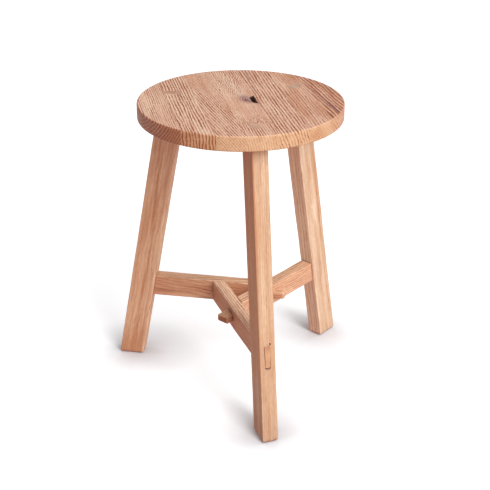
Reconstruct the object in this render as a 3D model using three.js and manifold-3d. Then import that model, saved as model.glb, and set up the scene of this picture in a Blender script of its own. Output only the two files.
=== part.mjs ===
// A wooden milking stool: a round seat of seven edge-glued boards on three splayed legs,
// tied by three rails that lean on one another in a ring.
// Millimetres, +Z up. The stool stands on z = 0, and the front leg points along -Y.

import * as THREE from "three";
import { mergeVertices } from "three/addons/utils/BufferGeometryUtils.js";
import Module from "manifold-3d";

// ---- Driving dimensions -------------------------------------------------------------

const SEAT_DIAMETER = 300;
const SEAT_HEIGHT = 455; // floor to the top of the seat
const SEAT_THICKNESS = 22;
const BOARD_WIDTHS = [46, 43, 39, 45, 46, 40, 41]; // left to right, together the diameter
const RIM_EASE = 1.6; // rounding of the seat's top and bottom edges
const RIM_STEPS = 120; // facets round the seat

const LEG_THICKNESS = 24; // across the leg, level
const LEG_DEPTH = 38.6; // from the leg's inner face to its outer face, level
const LEG_SLOPE = 0.185; // how far the leg spreads for each millimetre of drop
const LEG_ARRIS = 1.2; // rounding of the leg's long edges
const FOOT_EASE = 3.6; // rounding of the foot's edges

const RAIL_LEVEL = 131.5; // height of the rails' middle
const RAIL_WIDTH = 19;
const RAIL_HEIGHT = 34;
const RAIL_ARRIS = 1.4;
const LEG_RADIUS_AT_RAIL = 164; // from the stool's axis to the leg's middle, at the rails' level

const SECTION_TURN = 8.5; // degrees a leg's section and its rail are turned off the radius
const LEAN_TURN = 2.3; // degrees the leg's lean is turned off the radius

const SEAT_TENON_DEPTH = 26; // the leg's top tenon, along the leg's depth
const SEAT_TENON_THICKNESS = 13;
const SEAT_TENON_ARRIS = 1;
const SEAT_TENON_SHIFT = 2.5; // outwards from the leg's middle
const LEG_TENON_WIDTH = 8.6; // the rail's upright tenon through its leg
const LEG_TENON_ROUND = 2.6;
const MORTISE_SPARE = 0.9; // how much longer the leg's mortise is than the tenon
const NUB_HEIGHT = 10; // the rail's flat tenon through the next rail
const NUB_ARRIS = 0.8;
const NUB_CHAMFER = 1.8;

const FIT_GAP = 0.3; // clearance round each tenon and in each glue line

// Each leg and its rail: where it stands round the seat, and how far the rail's nub
// reaches past the stool's own centre plane, measured along the rail.
const LEGS = [
  { side: "front", azimuth: -90, nubReach: 68 },
  { side: "right", azimuth: 30, nubReach: 72.5 },
  { side: "left", azimuth: 150, nubReach: 68 },
];

// The knot that fell out of a middle board's edge.
const KNOT_BOARD = 3; // index in BOARD_WIDTHS
const KNOT_HALF_LENGTH = 17.5;
const KNOT_WIDTH = 6.8;
const KNOT_DEPTH = 14;

// The small pin hole in the front leg's outer face, just above the rail's tenon.
const PIN_HOLE_LEG = "front";
const PIN_HOLE_RADIUS = 1.4;
const PIN_HOLE_DEPTH = 6;
const PIN_HOLE_SHIFT = 4.2; // to the side of the leg's middle
const PIN_HOLE_RISE = RAIL_HEIGHT / 2 + 2; // above the rail's middle

// ---- Materials ----------------------------------------------------------------------

const WOOD_ROUGHNESS = 0.55;

function wood(color) {
  return new THREE.MeshStandardMaterial({ color, roughness: WOOD_ROUGHNESS, metalness: 0 });
}

const SEAT_COLORS = [0xd9b091, 0xd2a585, 0xcfa080, 0xd6ad8c, 0xd3a484, 0xca9a78, 0xc9946f];
const LEG_COLOR = 0xdba97c;
const RAIL_COLOR = 0xd09668;

// ---- Solids -------------------------------------------------------------------------

const wasm = await Module();
wasm.setup();

const rad = THREE.MathUtils.degToRad;
const FAR = 1000; // longer than the stool, for cutting blocks

// A closed three.js geometry as a solid for joining and cutting.
function solid(geometry) {
  const bare = geometry.index ? geometry.toNonIndexed() : geometry.clone();
  bare.deleteAttribute("normal");
  bare.deleteAttribute("uv");
  const merged = mergeVertices(bare, 1e-4);
  return new wasm.Manifold(
    new wasm.Mesh({
      numProp: 3,
      vertProperties: new Float32Array(merged.attributes.position.array),
      triVerts: new Uint32Array(merged.index.array),
    }),
  );
}

// A finished solid as a named mesh.
function mesh(name, body, material) {
  const { vertProperties, triVerts } = body.getMesh();
  const geometry = new THREE.BufferGeometry();
  geometry.setAttribute("position", new THREE.BufferAttribute(vertProperties, 3));
  geometry.setIndex(new THREE.BufferAttribute(triVerts, 1));
  geometry.computeVertexNormals();
  const made = new THREE.Mesh(geometry, material);
  made.name = name;
  return made;
}

// A rectangle with rounded corners, centred on the origin.
function roundedRectangle(width, height, radius) {
  const [x, y] = [width / 2, height / 2];
  const shape = new THREE.Shape();
  shape.moveTo(-x + radius, -y);
  shape.lineTo(x - radius, -y);
  shape.absarc(x - radius, -y + radius, radius, -Math.PI / 2, 0);
  shape.lineTo(x, y - radius);
  shape.absarc(x - radius, y - radius, radius, 0, Math.PI / 2);
  shape.lineTo(-x + radius, y);
  shape.absarc(-x + radius, y - radius, radius, Math.PI / 2, Math.PI);
  shape.lineTo(-x, -y + radius);
  shape.absarc(-x + radius, -y + radius, radius, Math.PI, 1.5 * Math.PI);
  return shape;
}

// A bar of rounded section from z = from to z = to.
function bar(width, height, radius, from, to) {
  const geometry = new THREE.ExtrudeGeometry(roundedRectangle(width, height, radius), {
    depth: to - from,
    curveSegments: 3,
    bevelEnabled: false,
  });
  return geometry.translate(0, 0, from);
}

// A sharp-edged block of the same length whose end faces are eased all round. What a bar
// has in common with it is the bar with softened ends.
function easedBlock(width, height, from, to, ease) {
  const outline = new THREE.Shape([
    new THREE.Vector2(-width / 2, -height / 2),
    new THREE.Vector2(width / 2, -height / 2),
    new THREE.Vector2(width / 2, height / 2),
    new THREE.Vector2(-width / 2, height / 2),
  ]);
  const geometry = new THREE.ExtrudeGeometry(outline, {
    depth: to - from - 2 * ease,
    bevelEnabled: true,
    bevelThickness: ease,
    bevelSize: ease,
    bevelOffset: -ease,
    bevelSegments: 2,
  });
  return geometry.translate(0, 0, from + ease);
}

// A bar placed by matrix, with eased ends.
function easedBar(width, height, radius, from, to, ease, matrix) {
  const stick = solid(bar(width, height, radius, from, to).applyMatrix4(matrix));
  return stick.intersect(solid(easedBlock(width, height, from, to, ease).applyMatrix4(matrix)));
}

// A block between two corners.
function block(low, high) {
  const size = new THREE.Vector3().subVectors(high, low);
  const middle = new THREE.Vector3().addVectors(low, high).multiplyScalar(0.5);
  return new THREE.BoxGeometry(size.x, size.y, size.z).translate(middle.x, middle.y, middle.z);
}

// ---- Where each leg and rail goes ---------------------------------------------------

// How a leg leans: its level section slides along a slanting line, and keeps its outline.
function legMatrix(leg) {
  const lean = rad(leg.azimuth + LEAN_TURN);
  const turn = rad(leg.azimuth + SECTION_TURN);
  const outward = new THREE.Vector3(Math.cos(turn), Math.sin(turn), 0);
  const across = new THREE.Vector3(-Math.sin(turn), Math.cos(turn), 0);
  const rise = new THREE.Vector3(-LEG_SLOPE * Math.cos(lean), -LEG_SLOPE * Math.sin(lean), 1);
  const atRail = new THREE.Vector3(
    LEG_RADIUS_AT_RAIL * Math.cos(rad(leg.azimuth)),
    LEG_RADIUS_AT_RAIL * Math.sin(rad(leg.azimuth)),
    RAIL_LEVEL,
  );
  const foot = atRail.addScaledVector(rise, -RAIL_LEVEL);
  return new THREE.Matrix4().makeBasis(outward, across, rise).setPosition(foot);
}

// A rail's own frame: x runs across it, y is up and z runs along it from its leg towards
// its nub, with z = 0 where the rail passes closest to the stool's axis.
const RAIL_OFFSET = LEG_RADIUS_AT_RAIL * Math.sin(rad(SECTION_TURN));
const LEG_TO_MIDDLE = LEG_RADIUS_AT_RAIL * Math.cos(rad(SECTION_TURN));
const CROSSING = RAIL_OFFSET * Math.tan(Math.PI / 3); // from the middle to the rail it goes through

function railMatrix(leg) {
  const turn = rad(leg.azimuth + SECTION_TURN);
  const along = new THREE.Vector3(-Math.cos(turn), -Math.sin(turn), 0);
  const up = new THREE.Vector3(0, 0, 1);
  const across = new THREE.Vector3().crossVectors(up, along);
  const middle = across.clone().multiplyScalar(RAIL_OFFSET).setZ(RAIL_LEVEL);
  return new THREE.Matrix4().makeBasis(across, up, along).setPosition(middle);
}

// The rail that a leg's rail goes through stands a third of a turn back round the ring.
function railAhead(index) {
  return LEGS[(index + LEGS.length - 1) % LEGS.length];
}

// ---- Seat ---------------------------------------------------------------------------

const SEAT_UNDERSIDE = SEAT_HEIGHT - SEAT_THICKNESS;

// The round seat as one disc, with eased edges.
function seatDisc() {
  const radius = SEAT_DIAMETER / 2;
  const outline = new THREE.Path();
  outline.moveTo(0, SEAT_UNDERSIDE);
  outline.lineTo(radius - RIM_EASE, SEAT_UNDERSIDE);
  outline.absarc(radius - RIM_EASE, SEAT_UNDERSIDE + RIM_EASE, RIM_EASE, -Math.PI / 2, 0);
  outline.lineTo(radius, SEAT_HEIGHT - RIM_EASE);
  outline.absarc(radius - RIM_EASE, SEAT_HEIGHT - RIM_EASE, RIM_EASE, 0, Math.PI / 2);
  outline.lineTo(0, SEAT_HEIGHT);
  return new THREE.LatheGeometry(outline.getPoints(3), RIM_STEPS).rotateX(Math.PI / 2);
}

// A leg's tenon through the seat, and with gap more than 0 the mortise that it sits in.
function seatTenon(leg, gap = 0) {
  const end = gap > 0 ? SEAT_HEIGHT + SEAT_THICKNESS : SEAT_HEIGHT;
  const tenon = bar(
    SEAT_TENON_DEPTH + 2 * gap,
    SEAT_TENON_THICKNESS + 2 * gap,
    SEAT_TENON_ARRIS,
    SEAT_UNDERSIDE - SEAT_THICKNESS,
    end,
  );
  return solid(tenon.translate(SEAT_TENON_SHIFT, 0, 0).applyMatrix4(legMatrix(leg)));
}

// The pit that the knot left: half an ellipse against the board's right edge.
function knotPit(rightEdge) {
  const outline = new THREE.Shape();
  outline.absellipse(0, 0, KNOT_WIDTH, KNOT_HALF_LENGTH, Math.PI / 2, 1.5 * Math.PI);
  outline.lineTo(KNOT_WIDTH, -KNOT_HALF_LENGTH);
  outline.lineTo(KNOT_WIDTH, KNOT_HALF_LENGTH);
  const pit = new THREE.ExtrudeGeometry(outline, {
    depth: 2 * KNOT_DEPTH,
    curveSegments: 16,
    bevelEnabled: false,
  });
  return solid(pit.translate(rightEdge, 0, SEAT_HEIGHT - KNOT_DEPTH));
}

function seatBoards() {
  const disc = solid(seatDisc());
  const mortises = LEGS.map((leg) => seatTenon(leg, FIT_GAP));
  let left = -SEAT_DIAMETER / 2;
  return BOARD_WIDTHS.map((width, index) => {
    const right = left + width;
    const strip = block(
      new THREE.Vector3(left + (index > 0 ? FIT_GAP / 2 : 0), -FAR, 0),
      new THREE.Vector3(right - (index < BOARD_WIDTHS.length - 1 ? FIT_GAP / 2 : 0), FAR, FAR),
    );
    let board = disc.intersect(solid(strip));
    for (const mortise of mortises) board = board.subtract(mortise);
    if (index === KNOT_BOARD) board = board.subtract(knotPit(right - FIT_GAP / 2));
    left = right;
    return mesh(`seat_board_${index + 1}`, board, wood(SEAT_COLORS[index]));
  });
}

// ---- Rails --------------------------------------------------------------------------

// Everything on the stool's side of a slanting plane that lies level with a leg's faces.
// outset is how far the plane stands out from the leg's middle.
function insideOf(leg, outset) {
  const half = block(
    new THREE.Vector3(-FAR, -FAR, -FAR),
    new THREE.Vector3(outset, FAR, FAR),
  );
  return solid(half.applyMatrix4(legMatrix(leg)));
}

// Everything beyond the near face of the rail ahead.
function beyondRail(index, gap) {
  const near = -RAIL_WIDTH / 2 - gap;
  const far = block(new THREE.Vector3(near, -FAR, -FAR), new THREE.Vector3(FAR, FAR, FAR));
  return solid(far.applyMatrix4(railMatrix(railAhead(index))));
}

// The upright tenon through the leg, and with gap more than 0 its mortise, which is cut a
// little too long at the bottom.
function legTenon(leg, gap = 0) {
  const spare = gap > 0 ? MORTISE_SPARE : 0;
  const tenon = bar(
    LEG_TENON_WIDTH + 2 * gap,
    RAIL_HEIGHT + 2 * gap + spare,
    LEG_TENON_ROUND,
    -LEG_TO_MIDDLE - LEG_DEPTH,
    -LEG_TO_MIDDLE + LEG_DEPTH,
  );
  return solid(tenon.translate(0, -spare / 2, 0).applyMatrix4(railMatrix(leg)));
}

// The flat tenon through the rail ahead.
function nub(leg) {
  return easedBar(
    RAIL_WIDTH,
    NUB_HEIGHT,
    NUB_ARRIS,
    -CROSSING / 2,
    leg.nubReach,
    NUB_CHAMFER,
    railMatrix(leg),
  );
}

// The mortise that a rail's nub goes through.
function nubMortise(leg) {
  const hole = bar(
    RAIL_WIDTH + 2 * FIT_GAP,
    NUB_HEIGHT + 2 * FIT_GAP,
    NUB_ARRIS,
    -CROSSING / 2,
    leg.nubReach + RAIL_WIDTH,
  );
  return solid(hole.applyMatrix4(railMatrix(leg)));
}

function rail(leg, index) {
  const stick = bar(
    RAIL_WIDTH,
    RAIL_HEIGHT,
    RAIL_ARRIS,
    -LEG_TO_MIDDLE - LEG_DEPTH,
    CROSSING + RAIL_WIDTH,
  );
  const behind = LEGS[(index + 1) % LEGS.length]; // its nub goes through this rail
  const body = solid(stick.applyMatrix4(railMatrix(leg)))
    .intersect(insideOf(leg, -LEG_DEPTH / 2 - FIT_GAP))
    .subtract(beyondRail(index, FIT_GAP))
    .add(legTenon(leg).intersect(insideOf(leg, LEG_DEPTH / 2)))
    .add(nub(leg))
    .subtract(nubMortise(behind));
  return mesh(`rail_${leg.side}`, body, wood(RAIL_COLOR));
}

// ---- Legs ---------------------------------------------------------------------------

function pinHole() {
  const [radius, length] = [PIN_HOLE_RADIUS, 2 * PIN_HOLE_DEPTH];
  return new THREE.CylinderGeometry(radius, radius, length, 16)
    .rotateZ(Math.PI / 2)
    .translate(LEG_DEPTH / 2, PIN_HOLE_SHIFT, RAIL_LEVEL + PIN_HOLE_RISE);
}

function leg(place) {
  const shoulder = SEAT_UNDERSIDE - FIT_GAP;
  const above = block(
    new THREE.Vector3(-FAR, -FAR, shoulder),
    new THREE.Vector3(FAR, FAR, FAR),
  );
  let body = easedBar(
    LEG_DEPTH,
    LEG_THICKNESS,
    LEG_ARRIS,
    0,
    SEAT_HEIGHT,
    FOOT_EASE,
    legMatrix(place),
  )
    .subtract(solid(above))
    .add(seatTenon(place))
    .subtract(legTenon(place, FIT_GAP));
  if (place.side === PIN_HOLE_LEG) {
    body = body.subtract(solid(pinHole().applyMatrix4(legMatrix(place))));
  }
  return mesh(`leg_${place.side}`, body, wood(LEG_COLOR));
}

// ---- The stool ----------------------------------------------------------------------

const stool = new THREE.Group();
stool.add(...seatBoards(), ...LEGS.map(leg), ...LEGS.map(rail));

// The origin is on the floor, under the middle of the stool's bounding box.
const bounds = new THREE.Box3().setFromObject(stool);
const middle = bounds.getCenter(new THREE.Vector3());
stool.position.set(-middle.x, -middle.y, -bounds.min.z);

export default stool;
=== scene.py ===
"""The looks of a wooden milking stool: finely modelled boards, legs and rails in place of the plain CAD
solids, each with its own growth rings, on a pale floor in soft light from the right."""

import math

import bmesh
import bpy
import numpy as np
from mathutils import Matrix, Vector


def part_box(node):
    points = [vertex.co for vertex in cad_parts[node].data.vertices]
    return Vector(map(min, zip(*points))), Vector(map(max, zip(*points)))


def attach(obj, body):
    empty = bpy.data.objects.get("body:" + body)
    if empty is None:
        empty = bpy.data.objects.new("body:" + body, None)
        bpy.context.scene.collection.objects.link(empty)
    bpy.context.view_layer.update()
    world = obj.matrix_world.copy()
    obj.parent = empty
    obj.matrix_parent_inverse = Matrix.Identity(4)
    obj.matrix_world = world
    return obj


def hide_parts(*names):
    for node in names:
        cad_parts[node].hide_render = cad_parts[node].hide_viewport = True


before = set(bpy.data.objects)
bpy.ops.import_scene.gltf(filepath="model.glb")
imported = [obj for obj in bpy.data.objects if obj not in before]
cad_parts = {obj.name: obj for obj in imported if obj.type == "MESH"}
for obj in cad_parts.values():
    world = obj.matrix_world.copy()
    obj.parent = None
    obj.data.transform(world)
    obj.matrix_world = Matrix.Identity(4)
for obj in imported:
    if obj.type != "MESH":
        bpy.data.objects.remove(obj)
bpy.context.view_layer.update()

# ---- Measures, in metres ----------------------------------------------------------------

MM = 0.001

BOARDS = [f"seat_board_{i}" for i in range(1, 8)]
SIDES = {"front": -90.0, "right": 30.0, "left": 150.0}  # each leg's azimuth, in degrees
RING = list(SIDES)

board_boxes = [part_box(name) for name in BOARDS]
SEAT_LOW = Vector(min(low[i] for low, _ in board_boxes) for i in range(3))
SEAT_HIGH = Vector(max(high[i] for _, high in board_boxes) for i in range(3))
AXIS = np.array([(SEAT_LOW.x + SEAT_HIGH.x) / 2, (SEAT_LOW.y + SEAT_HIGH.y) / 2, 0.0])
SEAT_RADIUS = (SEAT_HIGH.x - SEAT_LOW.x) / 2
SEAT_TOP, SEAT_UNDER = SEAT_HIGH.z, SEAT_LOW.z
RIM_EASE = 1.6 * MM

RAIL_LOW, RAIL_HIGH = (corner.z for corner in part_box("rail_front"))
RAIL_LEVEL, RAIL_HEIGHT = (RAIL_LOW + RAIL_HIGH) / 2, RAIL_HIGH - RAIL_LOW
RAIL_WIDTH = 19 * MM
RAIL_ARRIS = 1.4 * MM

LEG_THICKNESS, LEG_DEPTH = 24 * MM, 38.6 * MM
LEG_SLOPE = 0.185
LEG_ARRIS = 1.3 * MM
FOOT_EASE = 5.4 * MM
LEG_RADIUS = 164 * MM  # at the rails' level
SECTION_TURN, LEAN_TURN = 8.5, 2.3  # degrees off the radius

SEAT_TENON = (26 * MM, 13 * MM, 1 * MM)  # depth, thickness and corner radius
SEAT_TENON_SHIFT = 2.5 * MM
LEG_TENON = (8.1 * MM, RAIL_HEIGHT, 2.6 * MM)
NUB_HEIGHT, NUB_CHAMFER = 10 * MM, 2.2 * MM
NUB_REACH = {"front": 68 * MM, "right": 72.5 * MM, "left": 68 * MM}

RAIL_OFFSET = LEG_RADIUS * math.sin(math.radians(SECTION_TURN))
LEG_TO_MIDDLE = LEG_RADIUS * math.cos(math.radians(SECTION_TURN))
CROSSING = RAIL_OFFSET * math.tan(math.pi / 3)  # from the middle to the rail that a rail goes through
END_ANGLE = math.pi / 6  # how far a rail's end is off square
END_TILT = math.tan(END_ANGLE)
END_CLEARANCE = 0.25 * MM
RAIL_END = CROSSING - (RAIL_WIDTH / 2 + END_CLEARANCE) / math.cos(END_ANGLE)


# ---- Small tools ------------------------------------------------------------------------


def waves(place, scale, seed, count=7):
    """Smooth noise of about -1 to 1, from cosines in seeded random directions. scale is its grain size on
    each axis."""
    rng = np.random.default_rng(seed)
    total = np.zeros(len(place))
    for _ in range(count):
        direction = rng.normal(size=3)
        direction *= rng.uniform(0.6, 1.5) / np.linalg.norm(direction)
        turns = (place / np.array(scale)) @ direction + rng.uniform()
        total += np.cos(2 * np.pi * turns)
    return total / math.sqrt(count / 2) / 1.6


def smooth(low, high, value):
    """0 up to low and 1 from high on, with a soft start and stop. low may be the greater of the two."""
    t = np.clip((value - low) / (high - low), 0, 1)
    return t * t * (3 - 2 * t)


def blob(place, centre, size):
    """1 at the centre, falling to 0 like a bell over size, on each axis."""
    return np.exp(-(((place - np.array(centre)) / np.array(size)) ** 2).sum(1))


def bell(value, middle, width):
    """1 where value is middle, falling to 0 like a bell over width."""
    return np.exp(-(((value - middle) / width) ** 2))


def mesh_object(name, points, faces):
    mesh = bpy.data.meshes.new(name)
    mesh.from_pydata([tuple(p) for p in points], [], faces)
    work = bmesh.new()
    work.from_mesh(mesh)
    bmesh.ops.remove_doubles(work, verts=work.verts, dist=1e-6)
    bmesh.ops.recalc_face_normals(work, faces=work.faces)
    work.to_mesh(mesh)
    work.free()
    obj = bpy.data.objects.new(name, mesh)
    bpy.context.scene.collection.objects.link(obj)
    return obj


def cut(obj, cutters):
    """Takes the cutters' solids out of obj, and removes them."""
    for cutter in cutters:
        modifier = obj.modifiers.new("cut", "BOOLEAN")
        modifier.operation, modifier.solver, modifier.object = "DIFFERENCE", "EXACT", cutter
    graph = bpy.context.evaluated_depsgraph_get()
    made = bpy.data.meshes.new_from_object(obj.evaluated_get(graph))
    obj.modifiers.clear()
    obj.data = made
    made.name = obj.name
    for cutter in cutters:
        bpy.data.objects.remove(cutter)
    return obj


# ---- Lofted bars ------------------------------------------------------------------------

LONG_STEPS, SHORT_STEPS, CORNER_STEPS = 14, 9, 4


def outline(width, height, radius):
    """A rectangle with rounded corners as points round the origin, always as many."""
    x, y = width / 2 - radius, height / 2 - radius
    points = []
    corners = [(x, -y, -90), (x, y, 0), (-x, y, 90), (-x, -y, 180)]
    for i, (cx, cy, start) in enumerate(corners):
        for k in range(CORNER_STEPS + 1):
            a = math.radians(start + 90 * k / CORNER_STEPS)
            points.append((cx + radius * math.cos(a), cy + radius * math.sin(a)))
        nx, ny, following = corners[(i + 1) % 4]
        a = math.radians(following)
        last, first = points[-1], (nx + radius * math.cos(a), ny + radius * math.sin(a))
        side = LONG_STEPS if i % 2 == 0 else SHORT_STEPS
        for k in range(1, side):
            t = k / side
            points.append((last[0] + (first[0] - last[0]) * t, last[1] + (first[1] - last[1]) * t))
    return np.array(points)


def ring(section, height, shift=(0, 0)):
    """One ring of a loft. section is (width, depth, radius), and height a number or a function of x and y."""
    flat = outline(*section) + np.array(shift)
    z = height(flat[:, 0], flat[:, 1]) if callable(height) else np.full(len(flat), height)
    return np.column_stack([flat, z])


def cap(section, height, shift=(0, 0), steps=5):
    """The rings that close a loft's end: the outline drawn in towards its middle line."""
    width, depth, radius = section
    rings = []
    for k in range(1, steps + 1):
        inset = min(width, depth) / 2 * k / (steps + 0.5)
        rings.append(ring((width - 2 * inset, depth - 2 * inset, max(radius - inset, 1e-5)), height, shift))
    return rings


def loft(name, rings, place):
    """A closed skin over the rings, each point placed by place."""
    count = len(rings[0])
    points = np.concatenate(rings)
    faces = []
    for r in range(len(rings) - 1):
        for k in range(count):
            n = (k + 1) % count
            faces.append((r * count + k, r * count + n, (r + 1) * count + n, (r + 1) * count + k))
    faces.append(tuple(range(count))[::-1])
    faces.append(tuple(range((len(rings) - 1) * count, len(rings) * count)))
    return mesh_object(name, place(points), faces)


class Place:
    """A local frame: where a local point (x, y, z) lies, and back."""

    def __init__(self, origin, x, y, z):
        self.origin = np.array(origin, float)
        self.basis = np.array([x, y, z], float)

    def __call__(self, points):
        return self.origin + np.asarray(points) @ self.basis

    def local(self, points):
        return (np.asarray(points) - self.origin) @ np.linalg.inv(self.basis)


def turn_of(side):
    return math.radians(SIDES[side] + SECTION_TURN)


def leg_place(side):
    """x outwards, y across the leg, z up along its slope from the floor."""
    azimuth, lean, turn = math.radians(SIDES[side]), math.radians(SIDES[side] + LEAN_TURN), turn_of(side)
    rise = np.array([-LEG_SLOPE * math.cos(lean), -LEG_SLOPE * math.sin(lean), 1.0])
    at_rail = np.array([LEG_RADIUS * math.cos(azimuth), LEG_RADIUS * math.sin(azimuth), RAIL_LEVEL])
    outward = (math.cos(turn), math.sin(turn), 0)
    across = (-math.sin(turn), math.cos(turn), 0)
    return Place(AXIS + at_rail - rise * RAIL_LEVEL, outward, across, rise)


def rail_place(side):
    """x across the rail, y up, z along it from its leg towards its nub."""
    turn = turn_of(side)
    along = np.array([-math.cos(turn), -math.sin(turn), 0])
    across = np.array([math.sin(turn), -math.cos(turn), 0])
    origin = AXIS + across * RAIL_OFFSET + np.array([0, 0, RAIL_LEVEL])
    return Place(origin, across, (0, 0, 1), along)


def behind(side):
    """The side whose rail goes through this side's rail."""
    return RING[(RING.index(side) + 1) % 3]


# ---- Seat boards ------------------------------------------------------------------------

BOARD_GAP = 0.03 * MM  # from a board's side to the middle of the glue line
CAD_GAP = 0.15 * MM  # the same in the CAD
ROWS = 118  # steps along a board
COLUMN = 0.8 * MM  # width of a step across it
EASE_STEPS, RIM_LEVELS = 4, 10


def rim_profile():
    """(radius, height) down the seat's edge, from the top's flat to the underside's."""
    profile = []
    for k in range(EASE_STEPS + 1):
        a = math.pi / 2 * k / EASE_STEPS
        profile.append((SEAT_RADIUS - RIM_EASE * (1 - math.sin(a)), SEAT_TOP - RIM_EASE * (1 - math.cos(a))))
    upper, lower = SEAT_TOP - RIM_EASE, SEAT_UNDER + RIM_EASE
    for k in range(1, RIM_LEVELS):
        profile.append((SEAT_RADIUS, upper + (lower - upper) * k / RIM_LEVELS))
    for k in range(EASE_STEPS + 1):
        a = math.pi / 2 * k / EASE_STEPS
        profile.append((SEAT_RADIUS - RIM_EASE * (1 - math.cos(a)), lower - RIM_EASE * math.sin(a)))
    return profile


def board_columns(left, right):
    """Functions that give each column's x on a disc of a given radius. An outer board's columns turn by equal
    angles."""
    count = max(24, round((right - left) / COLUMN))
    if left <= -SEAT_RADIUS + MM:
        return [lambda r, f=k / count: -r * math.cos(f * math.acos(-right / r)) for k in range(count + 1)]
    if right >= SEAT_RADIUS - MM:
        return [lambda r, f=1 - k / count: r * math.cos(f * math.acos(left / r)) for k in range(count + 1)]
    return [lambda r, x=left + (right - left) * k / count: x for k in range(count + 1)]


def seat_board(name, index):
    low, high = board_boxes[index]
    left = low.x - AXIS[0] if index == 0 else low.x - AXIS[0] - CAD_GAP + BOARD_GAP
    right = high.x - AXIS[0] if index == len(BOARDS) - 1 else high.x - AXIS[0] + CAD_GAP - BOARD_GAP
    profile = rim_profile()
    flat_radius = profile[0][0]
    points, faces = [], []
    columns = board_columns(left, right)
    for column in columns:
        x = column(flat_radius)
        reach = math.sqrt(max(flat_radius**2 - x**2, 0))
        rows = [2 * j / ROWS - 1 for j in range(ROWS + 1)]
        points += [(x, t * reach, SEAT_TOP) for t in rows]
        edge = [(column(r), math.sqrt(max(r**2 - column(r) ** 2, 0)), z) for r, z in profile[1:-1]]
        points += edge
        points += [(x, t * reach, SEAT_UNDER) for t in rows[::-1]]
        points += [(ex, -ey, ez) for ex, ey, ez in edge[::-1]]
    loop = len(points) // len(columns)
    for c in range(len(columns) - 1):
        for k in range(loop):
            n = (k + 1) % loop
            faces.append((c * loop + k, (c + 1) * loop + k, (c + 1) * loop + n, c * loop + n))
    rim = len(profile) - 2
    for c in (0, len(columns) - 1):
        base = c * loop
        under = base + ROWS + 1 + rim
        for j in range(ROWS):
            faces.append((base + j, base + j + 1, under + ROWS - j - 1, under + ROWS - j))
        faces.append(tuple(base + ROWS + k for k in range(rim + 2)))
        faces.append((base,) + tuple(under + ROWS + k for k in range(rim + 1)))
    return mesh_object(name, np.array(points) + AXIS, faces)


MORTISE_GAP = 0.12 * MM
CUT_BELOW, CUT_ABOVE = 30 * MM, 10 * MM  # how far a mortise's cutter goes past the seat


def seat_mortise(side):
    """The solid that cuts a leg's tenon hole through the seat."""
    width, depth, radius = SEAT_TENON
    gap = MORTISE_GAP
    section = (width + 2 * gap, depth + 2 * gap, radius + gap)
    shift = (SEAT_TENON_SHIFT, 0)
    ends = (SEAT_UNDER - CUT_BELOW, SEAT_TOP + CUT_ABOVE)
    return loft("cutter", [ring(section, z, shift) for z in ends], leg_place(side))


KNOT_BOARD = 3  # its index in BOARDS
KNOT_Y, KNOT_HALF, KNOT_WIDTH, KNOT_DEPTH = 1.6 * MM, 19.6 * MM, 8.8 * MM, 14 * MM
KNOT_SHIFT = 6 * MM  # how far the pit's floor lies in front of its mouth
KNOT_LEVELS, KNOT_STEPS = 8, 28


def knot_cutter(edge):
    """The pit where a knot fell out: half of a ragged oval against the board's edge, narrowing downwards."""
    rings = []
    for k in range(KNOT_LEVELS + 1):
        depth = -2 * MM + (KNOT_DEPTH + 2 * MM) * k / KNOT_LEVELS
        sink = max(depth, 0) / KNOT_DEPTH
        width = KNOT_WIDTH * (1 - 0.62 * sink**0.8)
        half = KNOT_HALF * (1 - 0.45 * sink)
        middle = KNOT_Y - KNOT_SHIFT * sink
        points = [(edge + 2 * MM, middle + half)]
        for j in range(KNOT_STEPS + 1):
            a = math.pi / 2 + math.pi * j / KNOT_STEPS
            ragged = 1 + 0.05 * math.sin(5 * a + 1.3) + 0.04 * math.sin(11 * a + 3 * sink)
            points.append((edge + width * math.cos(a) * ragged, middle + half * math.sin(a)))
        points.append((edge + 2 * MM, middle - half))
        rings.append([(x, y, SEAT_TOP - depth) for x, y in points])
    count = len(rings[0])
    faces = []
    for r in range(len(rings) - 1):
        for k in range(count):
            n = (k + 1) % count
            faces.append((r * count + k, r * count + n, (r + 1) * count + n, (r + 1) * count + k))
    faces += [tuple(range(count)), tuple(range((len(rings) - 1) * count, len(rings) * count))]
    return mesh_object("cutter", np.concatenate(rings) + AXIS, faces)


# ---- Legs and rails ---------------------------------------------------------------------

STEP = 3 * MM  # along a leg or rail
FOOT_STEPS = 5
SEAT_SHOULDER_GAP = 0.15 * MM
TENON_SINK = 0.05 * MM  # how far a leg's tenon ends below the seat's top


def spaced(start, end):
    count = max(2, round(abs(end - start) / STEP))
    return [start + (end - start) * k / count for k in range(count + 1)]


def leg(side, seed):
    """A leg with its eased foot, its long edges a little worn, and its tenon through the seat."""
    rings = []
    for k in range(FOOT_STEPS + 1):
        a = math.pi / 2 * k / FOOT_STEPS
        height, inset = FOOT_EASE * (1 - math.cos(a)), FOOT_EASE * (1 - math.sin(a))
        section = (LEG_DEPTH - 2 * inset, LEG_THICKNESS - 2 * inset, LEG_ARRIS)
        if k == 0:
            rings += cap(section, height)[::-1]
        rings.append(ring(section, height))
    shoulder = SEAT_UNDER - SEAT_SHOULDER_GAP
    heights = np.array(spaced(FOOT_EASE, shoulder)[1:])
    wear = waves(np.column_stack([heights * 0, heights * 0, heights]), (1, 1, 0.07), seed)
    for height, worn in zip(heights, wear):
        rings.append(ring((LEG_DEPTH, LEG_THICKNESS, LEG_ARRIS * (1 + 0.35 * worn)), height))
    shift = (SEAT_TENON_SHIFT, 0)
    rings.append(ring(SEAT_TENON, shoulder, shift))
    top = SEAT_TOP - TENON_SINK
    for height in spaced(shoulder, top)[1:]:
        rings.append(ring(SEAT_TENON, height, shift))
    rings += cap(SEAT_TENON, top, shift)
    return loft(f"leg_{side}", rings, leg_place(side))


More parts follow.
